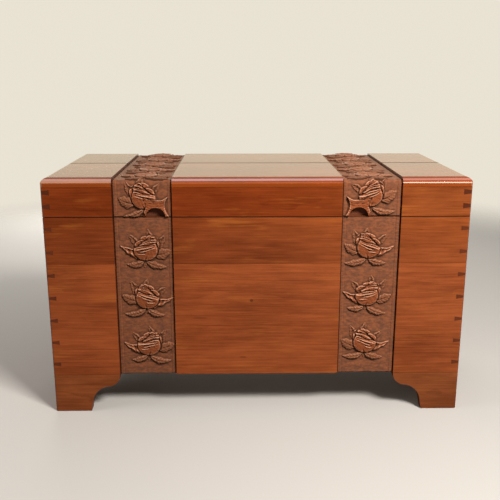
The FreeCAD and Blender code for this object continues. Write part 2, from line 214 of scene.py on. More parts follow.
def fibres(recipe, place, along, across, detail=3.0):
    """Noise drawn out along the grain, with spots about 1/along by 1/across metres."""
    stretched = recipe.out("ShaderNodeVectorMath", {0: place, 1: (along, across, across)},
                           operation="MULTIPLY")
    return recipe.number("ShaderNodeTexNoise", {
        "Vector": stretched, "Scale": 1.0, "Detail": detail, "Roughness": 0.55})


def grain(recipe, axis, heart):
    """(place seen from the heart, rings, fine fibres, broad tone), for a trunk that lies along axis."""
    turn = Euler(turns[axis])
    shift = -(turn.to_matrix() @ Vector(heart))
    where = recipe.node("ShaderNodeTexCoord").outputs["Object"]
    place = recipe.out("ShaderNodeMapping", {"Vector": where, "Location": shift, "Rotation": turn})
    _, y, z = recipe.parts(place)
    wander = (fibres(recipe, place, 1.8, 9.0) - 0.5) * ring_wander
    radius = (y * y + z * z) ** 0.5 + wander
    late = (radius / ring_spacing).fraction() ** 2.5
    fine = fibres(recipe, place, 11.0, 380.0)
    broad = fibres(recipe, place, 5.0, 90.0)
    return place, late, fine, broad


print("rings every", ring_spacing, "m")

# %% [markdown]
# ## Polished camphor
# The boards are stained red-brown and polished to a clear gloss. The polish is a coat over the wood: at a
# glance along the top it mirrors what stands round it, and straight on it is almost unseen. Where a board
# shows its ends, as at the dovetails, the stain sinks deeper and the wood is darker. Rounded edges are
# painted brighter, partly for rubbing and partly as a painted highlight, and take more gloss, and dirt
# gathers in the joints. The finger hollows are painted darker as shade. Inside, the boards were left bare,
# since the scent of camphor is what keeps moths away.

# %% Stains and gloss
dark_stain = (0.120, 0.021, 0.004)
light_stain = (0.385, 0.087, 0.021)
golden_stain = (0.400, 0.122, 0.020)
end_stain = (0.072, 0.018, 0.008)
# dark colour for dirt and wax in joints and marks, and for painted shade in the carving
old_wax_and_shade = (0.020, 0.008, 0.004)
# brighter red for the lid's rounded edges: rubbing and painted highlight
rubbed_and_lit_edge = (0.290, 0.054, 0.005)
ground_dark = (0.124, 0.053, 0.031)
top_boards = ("lid_top_front_board", "lid_top_back_board")
old_marks = (
    # x, z, half length, half height of a knot and two scratches on the front
    (-0.0136, 0.2882, 0.0042, 0.0038),
    (-0.0344, 0.1423, 0.0090, 0.0012),
    (-0.1380, 0.2444, 0.0190, 0.0013),
)
flat_gloss, edge_gloss = 1.25, 2.2
lid_end_depth, carcase_end_depth = 0.93, 0.80
seam_dirt = {
    # how a board's name starts: dirt along its lower and its upper edge
    "lid_top": (0.3, 0.9),
    "lid": (0.85, 0.15),
    "front_upper": (0.2, 0.85),
    "": (0.2, 0.2),
}
golden_share, mark_share = 0.4, 0.6
bare_dark = (0.300, 0.150, 0.072)
bare_light = (0.520, 0.315, 0.175)
print("polish over", dark_stain, "to", light_stain)


# %% Where the finish changes
def inside_chest(recipe):
    """1 on surfaces that face the space inside the chest and its lid, 0 outside."""
    x, y, z = recipe.here()
    out = (x.size() - x_wall).larger(y_inside[0] - y).larger(y - y_inside[1])
    return out.larger(z_carcase - z).larger(z - top_low.z).ramp(0.0004, 0.0002)


def in_joints(recipe, node):
    """(eased edges where a board meets the next one, how dark the dirt is in them)."""
    low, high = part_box(node)
    _, y, z = recipe.here()
    upright = recipe.here("Normal")[2].size().ramp(0.9, 0.8)
    below, above = ((z - level).size().ramp(0.0016, 0.0008) * upright for level in (low.z, high.z))
    if node in top_boards:
        above = (y - top_high.y).size().ramp(0.0062, 0.0026)
    in_low, in_high = next(share for start, share in seam_dirt.items() if node.startswith(start))
    return below.larger(above), below * in_low + above * in_high


def pull_shade(recipe):
    """1 in the finger hollows, which are painted darker as shade."""
    x, y, z = recipe.here()
    across = (x.size() - pull_middle) / (pull_width / 2)
    up = (z - lid_low.z) / pull_height
    return (across * across + up * up).ramp(1.15, 1.0) * y.ramp(y_front + 0.004, y_front + 0.009)


def in_marks(recipe):
    """1 in the knot and the scratches, soft at their edges."""
    x, _, z = recipe.here()
    knot, *scratches = ((((x - at).size() / long) ** 2.0 + ((z - up).size() / tall) ** 2.0).ramp(1.4, 0.4)
                        for at, up, long, tall in old_marks)
    return knot.larger(scratches[0]).larger(scratches[1])


print("bare inside, dirt in the joints and", len(old_marks), "old marks")


# %% Polished boards
def tinted(stain, tint):
    """A stain's colour, changed by a board's tint."""
    return tuple(c * t for c, t in zip(stain, tint))


def polished(node, axis, heart, tint, far_tint, turning):
    """Stained and polished camphor with its grain along axis.

    A board's tint is a share of the stain's colour; it changes to far_tint between two places along x.
    """
    material, recipe = finish(node + "_wood")
    place, late, fine, broad = grain(recipe, axis, heart)
    normal = recipe.here("Normal")
    cloud = fibres(recipe, place, 3.5, 9.0, 2.0)
    mottle = fibres(recipe, place, 16.0, 55.0, 2.0)
    tone = 0.51 + (fine - 0.5) * 0.55 + (broad - 0.5) * 0.22 - late * 0.10
    tone = tone + (cloud - 0.5) * 0.65 + (mottle - 0.5) * 0.32
    rightward = recipe.here()[0].ramp(*turning)
    deep, shallow = (recipe.mix(rightward, tinted(stain, tint), tinted(stain, far_tint))
                     for stain in (dark_stain, light_stain))
    golden = fibres(recipe, place, 8.0, 34.0, 4.0).ramp(0.54, 0.74) * fine.ramp(0.35, 0.6)
    ends = normal["XYZ".index(axis)].size().ramp(0.6, 0.8)
    end_depth = lid_end_depth if node.startswith("lid") else carcase_end_depth
    joints, dirt = in_joints(recipe, node)
    layers = [(tone.ramp(0.0, 1.0), shallow), (golden * golden_share, golden_stain),
              (ends * end_depth, end_stain), (dirt, old_wax_and_shade)]
    # painted shade in the finger hollows
    if node == "lid_front":
        layers.append((pull_shade(recipe) * mark_share, ground_dark))
    if node == "front_lower_plank":
        layers.append((in_marks(recipe) * mark_share, old_wax_and_shade))
    # rounded edges of the top boards painted brighter, partly for rubbing and partly as a painted highlight
    if node in top_boards:
        edge = normal[2].size().ramp(0.6, 0.2)
        layers.append((edge * (1.0 - ends) * (1.0 - dirt) * mark_share, rubbed_and_lit_edge))
    inside = inside_chest(recipe)
    pores = fibres(recipe, place, 70.0, 1600.0, 1.0).ramp(0.62, 0.70)
    layers += [(pores * 0.25, end_stain), (inside, recipe.mix(tone, bare_dark, bare_light))]
    bump = recipe.bump(0.10, 0.0003, fine - pores * 0.6)
    skin = {"Base Color": recipe.layered(deep, *layers),
            "Roughness": 0.34 + inside * 0.3 + (fine - 0.5) * 0.15,
            "Coat Weight": (1.0 - inside - ends * 0.3) * (1.0 - joints),
            "Coat Roughness": 0.06, "Specular IOR Level": 0.05, "Normal": bump}
    shader = recipe.out("ShaderNodeBsdfPrincipled", {**skin, "Coat IOR": flat_gloss})
    if node in top_boards:
        rounded = normal[2].ramp(0.99, 0.96) * (1.0 - ends * 0.75)
        glossy = recipe.out("ShaderNodeBsdfPrincipled", {**skin, "Coat IOR": edge_gloss})
        shader = recipe.out("ShaderNodeMixShader", {0: rounded, 1: shader, 2: glossy})
    recipe.surface(shader)
    return material


print("gloss", flat_gloss, "on flat faces,", edge_gloss, "on the lid's rounded edges")

# %% [markdown]
# ## Bare wood and brass
# The bearers, the bottom and the glue blocks were never meant to be seen, so they are plain planed wood. The
# hinges and the stay are brass that has dulled unevenly: a slow noise darkens it and roughens it in patches.

# %% Plain wood and aged brass
def plain(name, axis, heart):
    material, recipe = finish(name)
    _, late, fine, broad = grain(recipe, axis, heart)
    tone = 0.5 + (fine - 0.5) * 0.8 + (broad - 0.5) * 0.9 - late * 0.2
    bump = recipe.bump(0.2, 0.0003, fine)
    shader = recipe.out("ShaderNodeBsdfPrincipled", {
        "Base Color": recipe.mix(tone, bare_dark, bare_light), "Roughness": 0.62 + (fine - 0.5) * 0.2,
        "Specular IOR Level": 0.3, "Normal": bump})
    recipe.surface(shader)
    return material


def aged_brass(name):
    material, recipe = finish(name)
    where = recipe.node("ShaderNodeTexCoord").outputs["Object"]
    dull = fibres(recipe, where, 120.0, 120.0, 5.0).ramp(0.35, 0.7)
    scratches = fibres(recipe, where, 300.0, 2500.0, 2.0)
    bump = recipe.bump(0.1, 0.0001, scratches)
    shader = recipe.out("ShaderNodeBsdfPrincipled", {
        "Base Color": recipe.mix(dull, (0.43, 0.29, 0.11), (0.20, 0.125, 0.052)),
        "Metallic": 0.85, "Roughness": 0.40 + dull * 0.24, "Normal": bump})
    recipe.surface(shader)
    return material


brass = aged_brass("aged_brass")
print("brass and plain wood ready")

# %% [markdown]
# ## A finish for every piece
# Each board gets a material of its own, so that no two show the same figure. Its grain runs along its longest
# side, and its heart is put behind its face, as far away as a wide trunk would have it. Seven boards have
# tints of their own, three of them with a change from left to right. On the lid's front board that change is
# painted shade, darker away from the right end, and the two top boards' tint is painted shade that darkens
# the lid's top.

# %% Dress the construction
rng = np.random.default_rng(11)
heart_distance = (0.07, 0.16)
slots = {row["node"]: row["material_slot"] for row in frame["record"]["subparts"]}


def even(*tint):
    """The same tint from left to right."""
    return tint, tint, (0.0, 0.4)


shades = {
    # tint on the left, tint on the right, where along x it changes
    # painted shade: the lid's front darker away from its right end
    "lid_front": ((0.68, 0.54, 0.44), (0.90, 1.0, 1.04), (0.05, 0.42)),
    "front_upper_plank": ((0.72, 0.67, 0.62), (0.97, 1.05, 1.06), (-0.30, 0.36)),
    "front_lower_plank": ((1.0, 1.03, 1.08), (1.05, 1.14, 1.24), (-0.30, 0.30)),
    "front_left_foot_face": even(0.83, 0.98, 1.12),
    "front_right_foot_face": even(0.76, 0.92, 1.10),
    # painted shade: the lid's top boards darker
    **{board: even(0.90, 0.73, 0.64) for board in top_boards},
}


def heart_of(node):
    """(longest axis, a heart line somewhere behind the board's outer face)."""
    low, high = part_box(node)
    size, middle = high - low, (high + low) / 2
    long, thin = max(range(3), key=lambda i: size[i]), min(range(3), key=lambda i: size[i])
    wide = 3 - long - thin
    inward = -1 if middle[thin] > (cad_box[0][thin] + cad_box[1][thin]) / 2 else 1
    heart = middle.copy()
    heart[thin] += inward * rng.uniform(*heart_distance)
    heart[wide] += size[wide] * rng.uniform(-0.3, 0.3)
    heart[long] += rng.uniform(-2.0, 2.0)
    return "XYZ"[long], heart


for node, obj in sorted(frame["nodes"].items()):
    if slots[node] == "brass":
        material = brass
    else:
        axis, heart = heart_of(node)
        if slots[node] == "plain_wood":
            material = plain(node + "_wood", axis, heart)
        else:
            material = polished(node, axis, heart, *shades.get(node, even(1.0, 1.0, 1.0)))
    obj.data.materials.clear()
    obj.data.materials.append(material)
print(len(bpy.data.materials), "materials")

# %% [markdown]
# ## The carver's ground
# Roses and leaves stand in two bands that run down the front and back over the lid. A carver lowers the
# ground round a flower and never cuts under it, so each point of a band has one height, and an array can hold
# the whole relief. That is far easier to shape than loose faces: a petal is a formula, and laying one petal
# over another is a choice between two numbers. The pattern is drawn in millimetres, u across and v along.

# %% A relief that can be drawn on
MM = 0.001
ground_level = 0.7
relief_floor = 0.15
strip_width = 10.5
strip_rise = 0.7
edge_groove = 2.4
carving_rise = 1.2


def ease(low, high, x):
    """0 before low, 1 past high, smooth between; low may be the larger."""
    t = np.clip((x - low) / (high - low), 0, 1)
    return t * t * (3 - 2 * t)


def soften(field, reach):
    """A Gaussian blur over reach grid steps."""
    span = max(1, round(3 * reach))
    weights = np.exp(-0.5 * (np.arange(-span, span + 1) / reach) ** 2)
    weights /= weights.sum()
    for axis in (0, 1):
        ends = [(span, span) if a == axis else (0, 0) for a in (0, 1)]
        wide = np.pad(field, ends, "edge")
        field = sum(w * np.take(wide, range(i, i + field.shape[axis]), axis) for i, w in enumerate(weights))
    return field


class Relief:
    """A height and a kind (0 ground, 0.5 leaf, 1 petal) for every point of a band."""

    def __init__(self, width, length, step, seed):
        self.step = step
        self.rng = np.random.default_rng(seed)
        across = np.linspace(-width / 2, width / 2, round(width / step) + 1)
        along = np.linspace(0, length, round(length / step) + 1)
        self.u, self.v = np.meshgrid(across, along, indexing="ij")
        self.edge = width / 2 - np.abs(self.u)
        self.rim = (self.edge < edge_groove) | (self.v < 1.5) | (self.v > length - 1.5)
        self.height = np.zeros_like(self.u)
        self.kind = np.zeros_like(self.u)

    def lay(self, hit, height, kind):
        self.height = np.where(hit, height, self.height)
        self.kind = np.where(hit, kind, self.kind)

    def ripples(self, cell):
        """Smooth random values from -1 to 1 that change over about cell millimetres."""
        x, y = (self.u - self.u.min()) / cell, self.v / cell
        i, j = x.astype(int), y.astype(int)
        knots = self.rng.uniform(-1, 1, (i.max() + 2, j.max() + 2))
        fx, fy = ease(0, 1, x - i), ease(0, 1, y - j)
        low = knots[i, j] * (1 - fx) + knots[i + 1, j] * fx
        high = knots[i, j + 1] * (1 - fx) + knots[i + 1, j + 1] * fx
        return low * (1 - fy) + high * fy

    def near(self, point, by):
        return np.array(point) + self.rng.uniform(-by, by, 2)


print("relief drawn in steps of the grid, ground", ground_level, "mm above the sunk board")

# %% [markdown]
# ## Leaves and petals
# A leaf is a pointed outline with soft lobes and low ribs along a bent line. Lower leaves are domed with a
# cut vein, upper ones are scooped hollow, so that they catch a shadow. A petal is an ellipse, a little wavy,
# that swells in its middle and curls up to a lip along its upper edge. The cup is half an ellipse with
# slanting lips, and the wing is a petal that flares to one side. A groove is cut round each shape.

# %% Groove and leaf
def bell(x, width):
    """1 at 0, falling off on both sides over about a width."""
    return np.exp(-(x / width) ** 2)


def outline(relief, beyond, depth):
    """Cuts a groove into what lies just outside a new shape; beyond is the distance from its edge."""
    cut = relief.height - depth * bell(beyond, 1.7)
    relief.height = np.where(beyond > 0, np.maximum(cut, 0), relief.height)


def leaf(relief, x, y, base, tip, width, root, peak, bend, scoop):
    """Lays a leaf from base to tip; scoop goes from 0, domed, to 1, hollow."""
    length = math.hypot(*(tip - base))
    dx, dy = (tip - base) / length
    s = np.clip(((x - base[0]) * dx + (y - base[1]) * dy) / length, 0, 1)
    n = (y - base[1]) * dx - (x - base[0]) * dy - bend * length * 4 * s * (1 - s)
    lobes = 1 + 0.11 * np.sin(5 * math.pi * s + relief.rng.uniform(0, 6))
    half = width / 2 * (4 * s * (1 - s)) ** 0.7 * (1.25 - 0.5 * s) * lobes + MM
    r = np.clip(np.abs(n) / half, 0, 1)
    spine = (root + (peak - root) * np.sin(np.clip(s * 1.15, 0, 1) * math.pi / 2)) * (1 - 0.45 * s ** 3)
    vein = bell(n, 1.2) * (1 - s ** 2)
    upper = n * dx > 0
    domed = spine * (1 - 0.55 * r ** 2) - 2.2 * vein
    hollow = spine * (0.06 + np.where(upper, 0.95, 0.45) * r ** 0.9)
    ribs = 1.7 * r * (1 - r) * np.sin((s * length - np.abs(n) * 0.9) * 2 * math.pi / 7.5)
    height = (domed * (1 - scoop) + hollow * scoop + ribs) * (1 - r ** 9)
    within = (s > 0) & (s < 1)
    outline(relief, np.where(within, np.abs(n) - half, -1), 1.6)
    relief.lay(within & (r < 1), np.maximum(height, relief.height - 2.0), 0.5)


print("groove and leaf")


# %% Petal, cup, wing and heart
def petal(relief, x, y, centre, size, turn, base, swell, lip, groove=2.0):
    """Lays a petal with a lip along its upper edge."""
    c, s = math.cos(math.radians(turn)), math.sin(math.radians(turn))
    p = ((x - centre[0]) * c + (y - centre[1]) * s) / size[0]
    q = ((y - centre[1]) * c - (x - centre[0]) * s) / size[1]
    angle, phase = np.arctan2(q, p), relief.rng.uniform(0, 6)
    wave = 1 + 0.04 * np.cos(3 * angle + phase) + 0.03 * np.cos(5 * angle - phase)
    rho = np.hypot(p, q) * wave
    crown = np.sqrt(np.clip(1 - rho ** 2, 0, 1))
    upper = ease(-0.35, 0.5, (y - centre[1]) / max(size))
    inward = (1 - rho) * min(size)
    rim = bell(inward, 1.4) - 0.6 * bell(inward / 2.6 - 1.5, 1)
    folds = 0.15 * np.sin(p * size[0] * 2 * math.pi / 6 + 1.5 * q + phase) * crown
    height = base + swell * crown + lip * rim * upper + folds
    edge = ease(1, 0.88, rho) * (1 - upper) + ease(1, 0.96, rho) * upper
    outline(relief, (rho - 1) * min(size), groove)
    relief.lay(rho < 1, np.maximum(height * edge, relief.height - groove), 1.0)


def bowl(relief, x, y, half_width, depth, slant):
    """Lays the rose's cup: a half-ellipse below slanting lips, with a cleft where its two petals meet."""
    phase = relief.rng.uniform(0, 6)
    brim = 15 + slant * x + 1.2 * np.sin(x / 6 + phase)
    rho = np.hypot(x / half_width, (y - 3) / np.where(y < 3, depth, 30))
    crown = np.sqrt(np.clip(1 - rho ** 2, 0, 1))
    cleft = bell(x - 5 * ease(-22, -6, y), 1.5) * ease(-6, -18, y)
    below = brim - y
    lips = 1.6 * bell(below, 1.6)
    for at, reach, middle, tilt in ((6.2, 27, -2, 0.06), (12.4, 22, 4, -0.07), (18.0, 13, -9, 0.14)):
        fade = ease(reach, reach - 9, np.abs(x - middle))
        apart = below - at - tilt * (x - middle) - 1.4 * np.sin(x / 8 + at + phase)
        lips += fade * (1.6 * bell(apart, 1.5) - 2.6 * bell(apart + 2.9, 1.4))
    height = 4.8 + 2.4 * crown + lips - 2.0 * cleft
    inside = np.minimum((1 - rho) * half_width, below)
    outline(relief, -inside, 2.8)
    relief.lay(inside > 0, np.maximum(height * ease(0, 1.6, inside), relief.height - 2.4), 1.0)


def wing(relief, x, y):
    """Lays the petal that flares to one side: rolled along its upper edge, hollow under it, lifted below."""
    out, phase = np.clip((-14 - x) / 46, 0, 1), relief.rng.uniform(0, 6)
    upper = 8 + 3 * out - 4 * np.sin(math.pi * out ** 0.8) + 0.8 * np.sin(x / 4 + phase)
    lower = -20 + 29 * out ** 1.7 + 1.3 * np.sin(x / 3 + phase)
    wide = np.maximum(upper - lower, 0.1)
    from_top, from_bottom = upper - y, y - lower
    share = np.clip(from_bottom / wide, 0, 1)
    roll_over = 4.4 * bell(from_top, 2.4)
    lift = 3.2 * bell(share - 0.3, 0.2)
    calm = ease(0, 5, np.minimum(from_top, from_bottom))
    folds = 0.9 * np.sin(x * 2 * math.pi / 11 + 4 * share + phase) * calm
    height = (2.2 + roll_over + lift + folds) * (1 - 0.4 * out ** 3)
    inside = np.minimum(np.minimum(from_top, from_bottom), np.minimum(x + 61, -12 - x))
    outline(relief, -inside, 2.4)
    height = np.maximum(height * ease(0, 1.0, inside), relief.height - 2.0)
    relief.lay((inside > 0) & (wide > 1), height, 1.0)


def swirl(relief, x, y, centre, radius, base, pitch):
    """Lays the rolled heart of the rose, a spiral of edges."""
    p, q = x - centre[0], (y - centre[1]) / 0.85
    r = np.hypot(p, q)
    turn = r / pitch - np.arctan2(q, p) / (2 * math.pi) + relief.rng.uniform(0, 1)
    height = base - 1.6 + 2.9 * (turn - np.floor(turn)) ** 1.6 + 0.8 * (1 - r / radius)
    outline(relief, r - radius, 1.6)
    relief.lay(r < radius, height, 1.0)


print("petal, cup, wing and heart")

# %% [markdown]
# ## One rose
# Every rose on the chest is the same pattern, turned about from one to the next: a cup of two broad petals,
# rims of inner petals slanting above it, a rolled heart, one petal flaring to the side, and leaves behind. A
# carver's hand is never quite the same twice, so each shape is shifted and turned a little, by a fixed seed.

# %% The rose pattern
leaves = (
    # base, tip, width, root height, peak height, bend, scoop
    ((0, -20), (1, -38), 8, 2.0, 2.4, 0.0, 0.0),
    ((-3, -24), (-45, -34), 17, 5.0, 5.4, 0.10, 0.0),
    ((3, -24), (54, -36), 17, 5.0, 5.4, -0.10, 0.0),
    ((20, -7), (60, 9), 27, 5.0, 6.2, -0.08, 0.3),
    ((28, 8), (41, 45), 16, 4.6, 6.2, 0.06, 0.9),
    ((-20, 8), (-41, 36), 16, 4.6, 6.2, -0.08, 0.9),
    ((17, 24), (3, 54), 16, 4.2, 6.4, 0.10, 0.8),
)
back_petals = (
    # centre, half size, turn, base height
    ((19, 25), (12, 11), -35, 3.8),
    ((0, 29), (15, 9), 14, 3.8),
    ((24, 13), (7, 15), -8, 4.2),
    ((-16, 18), (13, 8), 32, 4.0),
)
rim_petals = (
    ((9, 30), (12, 5), 26, 4.6),
    ((7, 26), (15, 5), 24, 4.8),
    ((5, 22), (19, 5), 21, 5.0),
    ((3, 18), (22, 5), 19, 5.2),
)


def rose(relief, place, flip, flaring=True):
    """Carves a rose with its cup's middle at place; flip 1 flares to the left, -1 to the right."""
    rng = relief.rng
    lean = math.radians(rng.uniform(-5, 5))
    u, v = (relief.u - place[0]) * flip, relief.v - place[1]
    x, y = u * math.cos(lean) + v * math.sin(lean), v * math.cos(lean) - u * math.sin(lean)
    for base, tip, width, root, peak, bend, scoop in leaves:
        leaf(relief, x, y, relief.near(base, 1.0), relief.near(tip, 3.0), width * rng.uniform(0.9, 1.1),
             root, peak, bend + rng.uniform(-0.04, 0.04), scoop)
    for centre, size, turn, base in back_petals:
        petal(relief, x, y, relief.near(centre, 1.0), size, turn + rng.uniform(-6, 6), base,
              swell=1.0, lip=1.5)
    if flaring:
        wing(relief, x, y)
    swirl(relief, x, y, relief.near((8, 33), 1.0), 8.0, 5.4, 4.0)
    for centre, size, turn, base in rim_petals:
        petal(relief, x, y, relief.near(centre, 0.7), size, turn + rng.uniform(-4, 4), base,
              swell=0.4, lip=2.0, groove=2.6)
    bowl(relief, x, y, rng.uniform(27.5, 29.5), 25, 0.26 + rng.uniform(-0.05, 0.05))


def cut_ground(relief):
    """Finishes a band: gouged ground, lower close to the flowers, and a plain strip down each side."""
    crowd = soften((relief.height > 0.5).astype(float), 2.5 / relief.step)
    ground = ground_level + 0.30 * relief.ripples(7.0) + 0.18 * relief.ripples(3.0) - 0.6 * crowd
    ground = np.where(relief.edge < strip_width, ground_level + strip_rise, ground)
    ground = ground - 0.6 * bell(relief.edge - strip_width, 0.8)
    in_groove = ground_level * (0.2 + 0.5 * relief.edge / edge_groove)
    ground = np.where(relief.edge < edge_groove, in_groove, ground)
    chips = 0.45 * relief.ripples(2.4) + 0.55 * relief.ripples(5.0)
    flowers = np.where(relief.height > 0, (relief.height + chips) * carving_rise, 0)
    flowers = flowers * ease(edge_groove - 0.4, edge_groove + 2.0, relief.edge)
    relief.kind = np.where(flowers > ground, relief.kind, 0)
    relief.height = soften(np.maximum(flowers, ground), 0.5 / relief.step)


print(len(leaves), "leaves and", len(back_petals) + len(rim_petals), "petals behind the cup of a rose")

# %% [markdown]
# ## Laying the relief on the chest
# The grid of heights becomes a closed mesh: its upper side follows the heights, and walls and a flat
# underside close it. On the front it stands upright. On the lid one band starts at the lower edge, rises up
# the front, bends round the top edge and runs to the back, so its points are rolled round that edge.

# %% From heights to a closed mesh
def facing_up(relief):
    """From -1, where the relief slopes to face down the band, to 1, where it faces up it."""
    return np.clip(-np.gradient(soften(relief.height, 0.6 / relief.step), relief.step, axis=1), -1, 1)


def overhang_shadow(relief):
    """1 close below a much higher part of the relief, for painted shadow there, and 0 in the open."""
    most = np.zeros_like(relief.height)
    for k in range(1, round(6 / relief.step) + 1):
        above = np.pad(relief.height, ((0, 0), (0, k)), "edge")[:, k:]
        most = np.maximum(most, above - relief.height - 0.4 * k * relief.step)
    return np.clip(most / 2.5, 0, 1)


def new_mesh(name, points, faces):
    mesh = bpy.data.meshes.new(name)
    mesh.from_pydata(points, [], faces)
    return mesh


def in_scene(name, data):
    """A new object, linked to the scene."""
    made = bpy.data.objects.new(name, data)
    bpy.context.scene.collection.objects.link(made)
    return made


def closed_relief(name, relief, place, material):
    """A closed mesh of the relief; place(u, v, height), in metres, puts points on the chest."""
    u, v, height = relief.u * MM, relief.v * MM, relief.height * MM
    rows, columns = u.shape
    sides = [0, rows - 1]
    upper = np.stack(place(u, v, height), -1).reshape(-1, 3)
    under = np.stack(place(u[sides], v[sides], np.full((2, columns), relief_floor * MM)), -1).reshape(-1, 3)
    number = np.arange(rows * columns).reshape(rows, columns)
    left, right = rows * columns + np.arange(2 * columns).reshape(2, columns)

    def quads(a, b):
        """Faces between two lines of points, from a across to b."""
        return np.stack([a[..., :-1], b[..., :-1], b[..., 1:], a[..., 1:]], -1).reshape(-1, 4).tolist()

    faces = quads(number[:-1], number[1:])
    smooth = len(faces)
    faces += quads(left, number[0]) + quads(number[-1], right) + quads(right, left)
    faces.append([left[0], right[0], *number[::-1, 0]])
    faces.append([right[-1], left[-1], *number[:, -1]])
    mesh = new_mesh(name, np.concatenate([upper, under]).tolist(), faces)
    mesh.polygons.foreach_set("use_smooth", [i < smooth for i in range(len(faces))])
    near, far = (relief.height - soften(relief.height, reach / relief.step) for reach in (2.0, 6.0))
    # near, far, facing and under are read by the carved finish for painted shade and painted highlights
    marks = {"kind": relief.kind, "near": near, "far": far, "groove": relief.rim,
             "facing": facing_up(relief), "under": overhang_shadow(relief)}
    for mark, field in marks.items():
        values = np.concatenate([field.reshape(-1), np.zeros(2 * columns)])
        mesh.attributes.new(mark, "FLOAT", "POINT").data.foreach_set("value", values.astype(np.float32))
    mesh.materials.append(material)
    return in_scene(name, mesh)


print("relief meshes start", relief_floor, "mm above the sunk board")

# %% Where the bands lie
y_ground = y_front + band_depth
z_ground = top_high.z - band_depth
roll = lid_round - band_depth
end_gap = 0.0003
z_start, z_lid_start = z_carcase + end_gap, lid_low.z + end_gap
front_length = z_rim - end_gap - z_start
lid_rise = z_ground - roll - z_lid_start
back_gap = 0.0013
lid_length = lid_rise + roll * math.pi / 2 + back_high.y - y_ground - roll - back_gap


def on_front(side):
    return lambda u, v, h: (side * band_middle + u, y_ground - h, z_start + v)


def over_lid(side):
    def place(u, v, h):
        angle = np.clip((v - lid_rise) / roll, 0, math.pi / 2)
        along_top = np.clip(v - lid_rise - roll * math.pi / 2, 0, None)
        y = y_ground + roll - (roll + h) * np.cos(angle) + along_top
        return side * band_middle + u, y, z_lid_start + np.minimum(v, lid_rise) + (roll + h) * np.sin(angle)
    return place


print(f"band {front_length:.3f} m on the front, {lid_length:.3f} m over the lid")

# %% [markdown]
# ## Carved wood
# The bands were never polished flat like the panels. Their cuts are darkened, partly for dirt and old wax
# left in them and partly as painted shade, and painted shadow lies close under overhanging parts and on
# slopes that face down the band. Crests are painted pale, partly for wear and partly as a painted highlight
# where they face up the band, and carving that faces upward is painted lighter still. The relief knows where
# it is
# hollow: the difference between a height and the mean of the heights round it is stored on the mesh, and the
# material reads it.

# %% Carved finish
ground_light = (0.262, 0.089, 0.038)
# colour for wax and painted shade in the carving's cuts
carved_wax_and_shade = (0.055, 0.026, 0.015)
leaf_stain = (0.195, 0.071, 0.033)
petal_stain = (0.225, 0.061, 0.021)
# pale colour for wear and painted highlights on the carving's crests
worn_and_lit_crest = (0.560, 0.290, 0.175)


def carved(name, heart, tint):
    material, recipe = finish(name)
    place, late, fine, broad = grain(recipe, "X", heart)

    def mark(attribute):
        return recipe.number("ShaderNodeAttribute", output=2, attribute_name=attribute)

    kind, near, far = mark("kind"), mark("near"), mark("far")
    facing, under = mark("facing"), mark("under")
    # hollows of the relief, darkened partly for wax left in the cuts and partly as painted shade
    dark = (near + far * 0.5).ramp(-0.10, -1.5)
    # crests painted pale, partly for wear and partly as a painted highlight where they face up the band
    worn_and_lit = (near + far * 0.12).ramp(0.40, 1.60) * (0.35 + facing.ramp(-0.2, 0.6) * 0.65)
    patches = fibres(recipe, place, 42.0, 48.0, 2.0) * 0.25 + fibres(recipe, place, 110.0, 230.0, 4.0) * 0.75
    patches = patches.ramp(0.30, 0.70)
    lying = recipe.here("Normal")[2].ramp(0.3, 0.9)
    # painted light: carving that faces upward is painted lighter
    painted_top_light = lying * kind * (1.0 - dark) * 0.14
    # the darkening colour for wax and painted shade, darker where the carving faces upward
    wax_and_shade = recipe.mix(lying, carved_wax_and_shade, old_wax_and_shade)
    stain = recipe.layered(
        ground_dark,
        (patches, ground_light),
        (kind.ramp(0.0, 0.5), leaf_stain),
        (kind.ramp(0.5, 1.0), petal_stain),
        ((broad - 0.5).size() * 0.8 + late * 0.15, dark_stain),
        # wax and painted shade in the cuts
        (dark * (0.6 + kind * 0.35), wax_and_shade),
        # painted shade on slopes that face down the band
        (facing.ramp(-0.15, -0.9) * 0.55, wax_and_shade),
        # painted shadow close below overhanging parts
        (under * 0.6, wax_and_shade),
        # wear and painted highlight on crests, and painted light on carving that faces upward
        (worn_and_lit * (0.34 + kind.ramp(0.5, 1.0) * 0.36) + painted_top_light, worn_and_lit_crest),
        (mark("groove") * 0.9, old_wax_and_shade))
    stain = recipe.mix(1.0, stain, (tint, tint, tint), "MULTIPLY")
    # the coat fades where painted shade and painted shadow lie
    sheen = (kind * 0.38 + lying * (0.30 + kind * 0.35 + worn_and_lit * 0.5)) * (1.0 - dark) * (1.0 - under)
    bump = recipe.bump(0.35, 0.0004, fine)
    shader = recipe.out("ShaderNodeBsdfPrincipled", {
        "Base Color": stain, "Roughness": 0.48 - worn_and_lit * 0.14 + dark * 0.15, "Coat Weight": sheen,
        "Coat Roughness": 0.26, "Coat IOR": 1.38, "Specular IOR Level": 0.04, "Normal": bump})
    recipe.surface(shader)
    return material


print("carved finish from", ground_dark, "to", petal_stain)

# %% [markdown]
# ## Carving the bands
# Each band has three roses on the chest's front, one on the lid's front and five on its top, and the two
# bands nearly mirror each other. The rose on the lid's front doesn't flare: half of its cup is a broad petal
# that arches over a hollow for the fingers, which is how the lid is lifted. A Boolean cuts the hollow out of
# the relief, as a gouge does, so that its edge is clean. It needs flat faces, so triangles are made first.

# %% Roses on the front
front_step = 0.9
front_seed = 20
front_heart = 0.2
front_roses = {"left": (71.0, 191.0, 311.0), "right": (75.0, 196.0, 315.0)}
toward_inside = 4.0
band_tint = {"left": 0.97, "right": 1.1}
sides = {"left": -1, "right": 1}


def row_of_roses(side, length, step, seed, heights):
    """A relief with roses that flare to one side and the other in turn."""
    relief = Relief((band_width - 2 * end_gap) / MM, length / MM, step, seed + side)
    for i, height in enumerate(heights):
        rose(relief, (-side * toward_inside, height), -side * (-1) ** i)
    return relief


